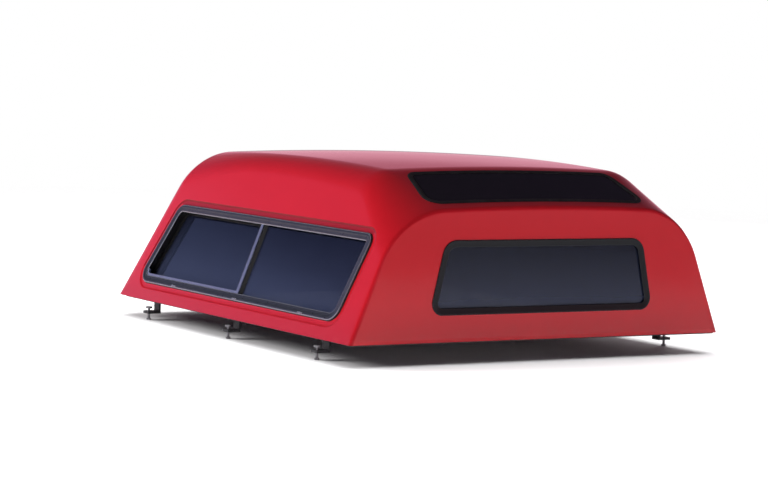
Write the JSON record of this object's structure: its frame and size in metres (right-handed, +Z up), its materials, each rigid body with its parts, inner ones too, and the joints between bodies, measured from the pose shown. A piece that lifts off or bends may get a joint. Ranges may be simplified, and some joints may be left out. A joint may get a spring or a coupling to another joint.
{
  "type": "truck cap",
  "caption": "Mid-rise fibreglass cap for a pick-up box, with a raised glazed front, half-slider side windows and a lift-up glazed rear door on gas struts.",
  "frame": {"origin": "centre of the bed-rail plane: middle of the pattern of through-bolt holes in the base flange, on the underside of the flange", "axes": "+X towards the truck cab, +Y to the left side, +Z up, square to the bed rails"},
  "size_m": [1.8844, 1.65, 0.711],
  "materials": {
    "paint": "gloss gel coat and clear lacquer over fibreglass",
    "tinted_glass": "dark tint, polished",
    "black_anodised": "dark satin anodised extrusion",
    "bright_aluminium": "bright anodised extrusion",
    "steel": "zinc plated",
    "black_steel": "black powder coat",
    "rod_chrome": "hard chrome",
    "rubber": "matt extruded rubber",
    "black_plastic": "moulded, fine grain",
    "white_plastic": "moulded",
    "clear_plastic": "frosted clear lens",
    "red_lens": "ribbed red lens",
    "lining": "foam-backed needle cloth",
    "mesh": "woven insect screen"
  },
  "bodies": {
    "cap": {"shell": "paint", "headliner": "lining", "rail_seal": "rubber", "clamp_bodies": "black_steel", "clamp_bolts": "steel", "bolt_bushings": "steel", "ramp_window_gasket": "rubber", "ramp_window_glass": "tinted_glass", "front_window_frame": "black_anodised", "front_window_glass": "tinted_glass", "front_window_ring": "black_anodised", "right_window_frame": "black_anodised", "right_window_seal": "rubber", "right_window_ring": "black_anodised", "right_window_screws": "steel", "right_fixed_glass": "tinted_glass", "right_mullion": "bright_aluminium", "right_screen_frame": "black_anodised", "right_screen_mesh": "mesh", "left_window_frame": "black_anodised", "left_window_seal": "rubber", "left_window_ring": "black_anodised", "left_window_screws": "steel", "left_fixed_glass": "tinted_glass", "left_mullion": "bright_aluminium", "left_screen_frame": "black_anodised", "left_screen_mesh": "mesh", "hinge_brackets": "black_steel", "hinge_pins": "steel", "latch_strikers": "steel", "strut_pivots": "black_steel", "brake_light_housing": "black_plastic", "brake_light_lens": "red_lens", "dome_light_base": "white_plastic", "dome_light_lens": "clear_plastic", "wiring_loom": "black_plastic"},
    "door": {"door_frame": "black_anodised", "door_glass": "tinted_glass", "door_glazing_bead": "rubber", "door_weatherstrip": "rubber", "hinge_leaves": "black_steel", "handle_base": "black_plastic", "rod_guides": "black_plastic", "strut_studs": "black_steel"},
    "handle": {"handle_lever": "black_plastic", "handle_cam": "steel"},
    "lock": {"lock_cylinder": "bright_aluminium"},
    "rod_right": {"latch_rod_right": "steel"},
    "rod_left": {"latch_rod_left": "steel"},
    "tube_right": {"strut_tube_right": "black_steel"},
    "tube_left": {"strut_tube_left": "black_steel"},
    "strut_right": {"strut_rod_right": "rod_chrome"},
    "strut_left": {"strut_rod_left": "rod_chrome"},
    "slider_right": {"right_sash": "bright_aluminium", "right_sliding_glass": "tinted_glass"},
    "slider_left": {"left_sash": "bright_aluminium", "left_sliding_glass": "tinted_glass"},
    "catch_right": {"right_sash_latch": "black_plastic"},
    "catch_left": {"left_sash_latch": "black_plastic"},
    "rocker": {"dome_light_switch": "black_plastic"}
  },
  "joints": [
    {"name": "rear_door_hinge", "type": "hinge", "parent": "cap", "child": "door", "pos_m": [-0.73606, 0, 0.52583], "axis": [0, 1, 0], "range_deg": [0, 70]},
    {"name": "strut_tube_right_turn", "type": "hinge", "parent": "cap", "child": "tube_right", "pos_m": [-0.84324, -0.64193, 0.08704], "axis": [0.2055, -0.9306, 0.3028], "range_deg": [0, 18.09]},
    {"name": "strut_rod_right_slide", "type": "slide", "parent": "tube_right", "child": "strut_right", "axis": [0.2995, 0.3543, 0.8859], "range_m": [0, 0.05414]},
    {"name": "strut_tube_left_turn", "type": "hinge", "parent": "cap", "child": "tube_left", "pos_m": [-0.84324, 0.64193, 0.08704], "axis": [-0.2055, -0.9306, -0.3028], "range_deg": [0, 18.09]},
    {"name": "strut_rod_left_slide", "type": "slide", "parent": "tube_left", "child": "strut_left", "axis": [0.2995, -0.3543, 0.8859], "range_m": [0, 0.05414]},
    {"name": "handle_turn", "type": "hinge", "parent": "door", "child": "handle", "pos_m": [-0.91324, 0, 0.02362], "axis": [-0.9473, 0, 0.3203], "range_deg": [0, 90]},
    {"name": "lock_turn", "type": "hinge", "parent": "handle", "child": "lock", "pos_m": [-0.93787, 0, 0.03195], "axis": [-0.9473, 0, 0.3203], "range_deg": [0, 90]},
    {"name": "latch_rod_right_slide", "type": "slide", "parent": "door", "child": "rod_right", "axis": [0, -1, 0], "range_m": [0, 0.0256]},
    {"name": "latch_rod_left_slide", "type": "slide", "parent": "door", "child": "rod_left", "axis": [0, 1, 0], "range_m": [0, 0.0256]},
    {"name": "right_window_slide", "type": "slide", "parent": "cap", "child": "slider_right", "axis": [1, 0, 0], "range_m": [0, 0.56]},
    {"name": "left_window_slide", "type": "slide", "parent": "cap", "child": "slider_left", "axis": [1, 0, 0], "range_m": [0, 0.56]},
    {"name": "right_catch_turn", "type": "hinge", "parent": "slider_right", "child": "catch_right", "pos_m": [0.076, -0.6965, 0.20816], "axis": [0, -0.9285, 0.3714], "range_deg": [0, 80]},
    {"name": "left_catch_turn", "type": "hinge", "parent": "slider_left", "child": "catch_left", "pos_m": [0.076, 0.6965, 0.20816], "axis": [0, -0.9285, -0.3714], "range_deg": [0, 80]},
    {"name": "dome_switch_rock", "type": "hinge", "parent": "cap", "child": "rocker", "pos_m": [0.044, 0, 0.6026], "axis": [1, 0, 0], "range_deg": [-8, 8]}
  ],
  "couplings": [
    {"joint": "strut_tube_right_turn", "follows": "rear_door_hinge", "ratio": 0.25836},
    {"joint": "strut_rod_right_slide", "follows": "rear_door_hinge", "m_per_rad": 0.044236},
    {"joint": "latch_rod_right_slide", "follows": "handle_turn", "m_per_rad": 0.016206},
    {"joint": "strut_tube_left_turn", "follows": "rear_door_hinge", "ratio": 0.25836},
    {"joint": "strut_rod_left_slide", "follows": "rear_door_hinge", "m_per_rad": 0.044236},
    {"joint": "latch_rod_left_slide", "follows": "handle_turn", "m_per_rad": 0.016206}
  ]
}
